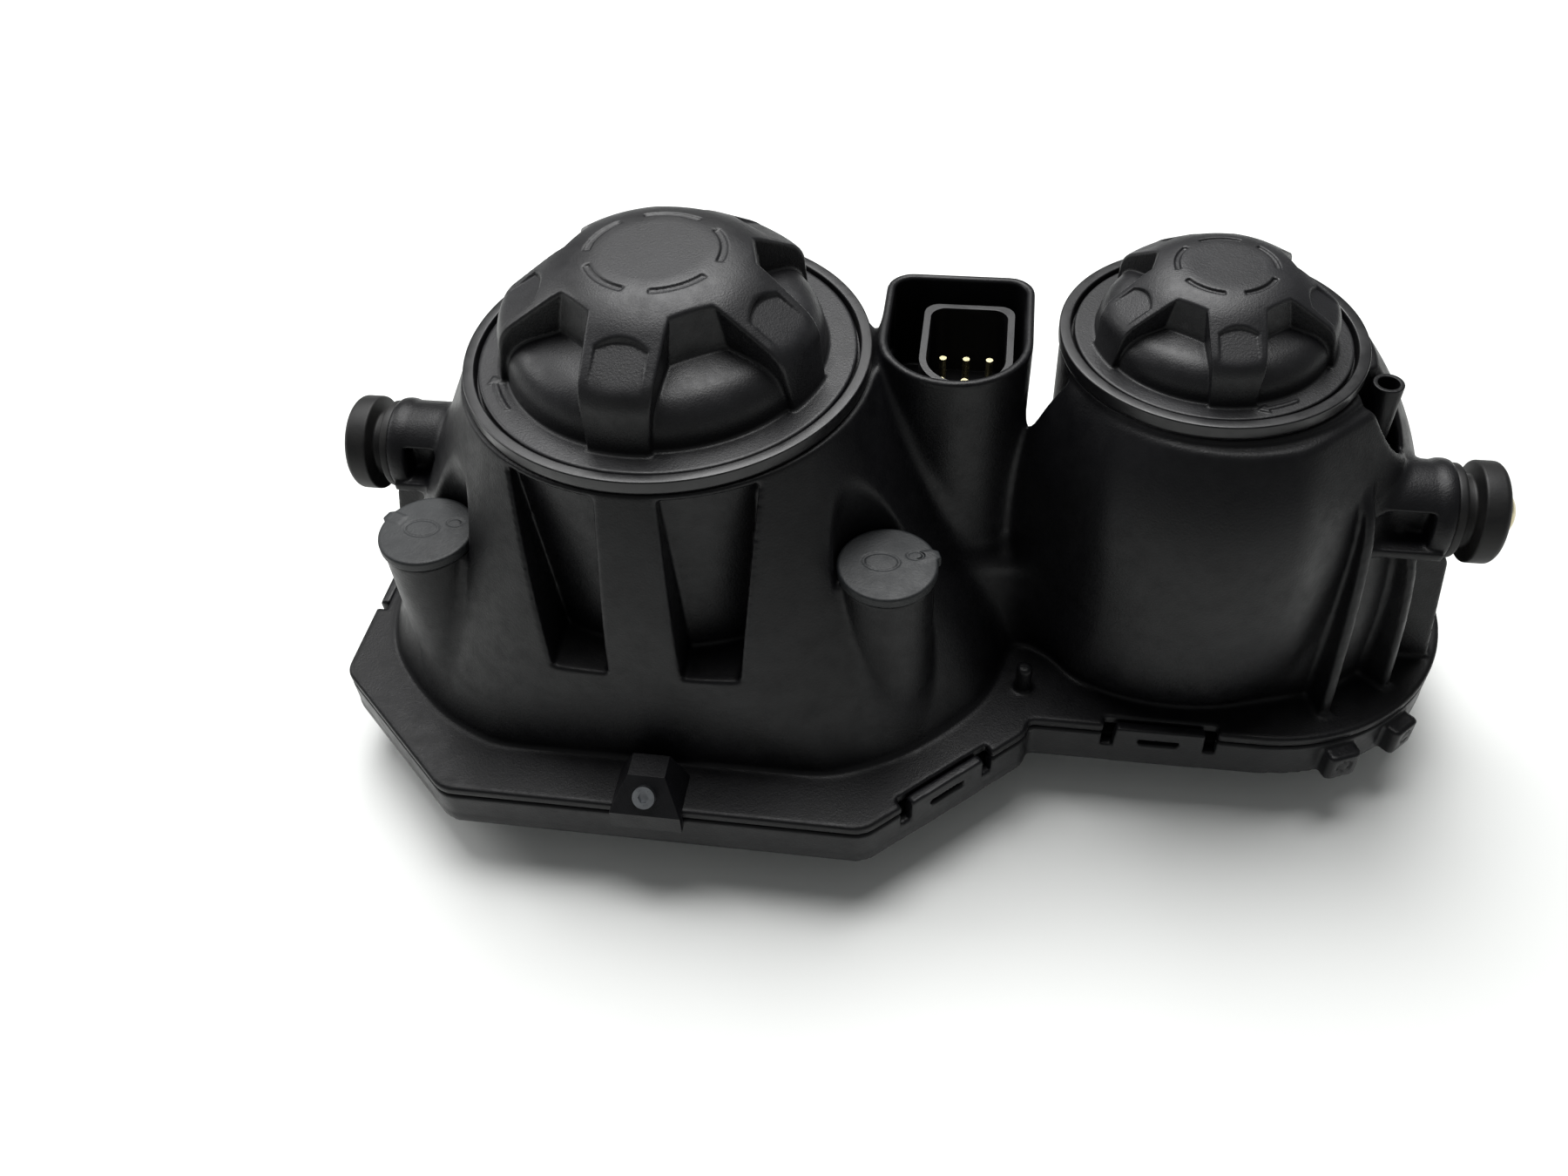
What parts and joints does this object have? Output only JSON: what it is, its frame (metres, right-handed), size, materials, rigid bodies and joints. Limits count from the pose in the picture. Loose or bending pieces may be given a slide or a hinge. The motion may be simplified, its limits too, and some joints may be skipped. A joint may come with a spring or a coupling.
{
  "type": "motorcycle twin headlamp",
  "caption": "Asymmetric motorcycle headlamp unit with a large and a small lamp chamber, twist-off rear caps, side pivots, a connector shroud and a clear front lens.",
  "frame": {"origin": "on the flat face of the lens that the unit rests on, below the middle of the line between the two side pivots", "axes": "+X along the two side pivots from the large lamp to the small one, +Z from the lens up through the rear caps, -Y towards the adjusters"},
  "size_m": [0.3128, 0.1568, 0.1512],
  "materials": {
    "housing_plastic": "fine-textured moulded black",
    "frame_plastic": "moulded dark grey",
    "cap_plastic": "moulded black",
    "cover_plastic": "moulded charcoal",
    "lens_clear": "clear hard-coated polycarbonate",
    "rubber": "black rubber",
    "seal_rubber": "silicone rubber",
    "pivot_metal": "yellow zinc-plated steel",
    "steel": "zinc-plated steel",
    "connector_plastic": "moulded black",
    "contact_metal": "tinned brass",
    "wire_sleeve": "wire sleeve",
    "nylon": "natural nylon",
    "reflector_metal": "vacuum-metallised",
    "bezel_plastic": "black trim",
    "bulb_metal": "steel",
    "bulb_glass": "clear quartz glass"
  },
  "bodies": {
    "housing": {"housing": "housing_plastic", "lens_frame": "frame_plastic", "outer_lens": "lens_clear", "lens_seal": "rubber", "inner_bezel": "bezel_plastic", "frame_bracket": "frame_plastic", "bracket_screw": "steel", "left_bush": "rubber", "right_bush": "rubber", "left_pivot_pin": "pivot_metal", "right_pivot_pin": "pivot_metal", "connector_body": "connector_plastic", "connector_pins": "contact_metal", "wiring_harness": "wire_sleeve", "pivot_ball_stud": "steel"},
    "large_cap_ring": {"large_cap_seal": "seal_rubber"},
    "large_cap": {"large_cap": "cap_plastic"},
    "small_cap_ring": {"small_cap_seal": "seal_rubber"},
    "small_cap": {"small_cap": "cap_plastic"},
    "left_cover": {"left_adjuster_cover": "cover_plastic"},
    "right_cover": {"right_adjuster_cover": "cover_plastic"},
    "left_screw": {"left_adjuster": "nylon"},
    "right_screw": {"right_adjuster": "nylon"},
    "reflectors": {"left_adjuster_nut": "nylon", "right_adjuster_nut": "nylon", "low_beam_reflector": "reflector_metal", "high_beam_reflector": "reflector_metal", "reflector_bridge": "bezel_plastic", "low_beam_bulb_base": "bulb_metal", "low_beam_bulb_glass": "bulb_glass", "low_beam_bulb_clip": "steel", "low_beam_plug": "connector_plastic", "high_beam_bulb_base": "bulb_metal", "high_beam_bulb_glass": "bulb_glass", "high_beam_bulb_clip": "steel", "high_beam_plug": "connector_plastic"}
  },
  "joints": [
    {"name": "large_cap_rise", "type": "slide", "parent": "housing", "child": "large_cap_ring", "axis": [0, 0, 1], "range_m": [0, 0.001]},
    {"name": "large_cap_turn", "type": "hinge", "parent": "large_cap_ring", "child": "large_cap", "pos_m": [-0.058, 0, 0.123], "axis": [0, 0, 1], "range_deg": [0, 45]},
    {"name": "small_cap_rise", "type": "slide", "parent": "housing", "child": "small_cap_ring", "axis": [0, 0, 1], "range_m": [0, 0.001]},
    {"name": "small_cap_turn", "type": "hinge", "parent": "small_cap_ring", "child": "small_cap", "pos_m": [0.076, 0.017, 0.123], "axis": [0, 0, 1], "range_deg": [0, 45]},
    {"name": "left_cover_pull", "type": "slide", "parent": "housing", "child": "left_cover", "axis": [0, 0, 1], "range_m": [0, 0.015]},
    {"name": "right_cover_pull", "type": "slide", "parent": "housing", "child": "right_cover", "axis": [0, 0, 1], "range_m": [0, 0.015]},
    {"name": "beam_aim", "type": "hinge", "parent": "housing", "child": "reflectors", "pos_m": [-0.058, 0.046, 0.056], "axis": [1, 0, 0], "range_deg": [-2, 2]},
    {"name": "left_screw_turn", "type": "hinge", "parent": "housing", "child": "left_screw", "pos_m": [-0.1173, -0.038, 0.08], "axis": [0, 0, 1], "range_deg": [-530, 530]},
    {"name": "right_screw_turn", "type": "hinge", "parent": "housing", "child": "right_screw", "pos_m": [0.0013, -0.038, 0.08], "axis": [0, 0, 1], "range_deg": [-530, 530]}
  ],
  "couplings": [
    {"joint": "large_cap_rise", "follows": "large_cap_turn", "m_per_rad": 0.001273},
    {"joint": "small_cap_rise", "follows": "small_cap_turn", "m_per_rad": 0.001273},
    {"joint": "left_screw_turn", "follows": "beam_aim", "ratio": 263.89},
    {"joint": "right_screw_turn", "follows": "beam_aim", "ratio": 263.89}
  ]
}
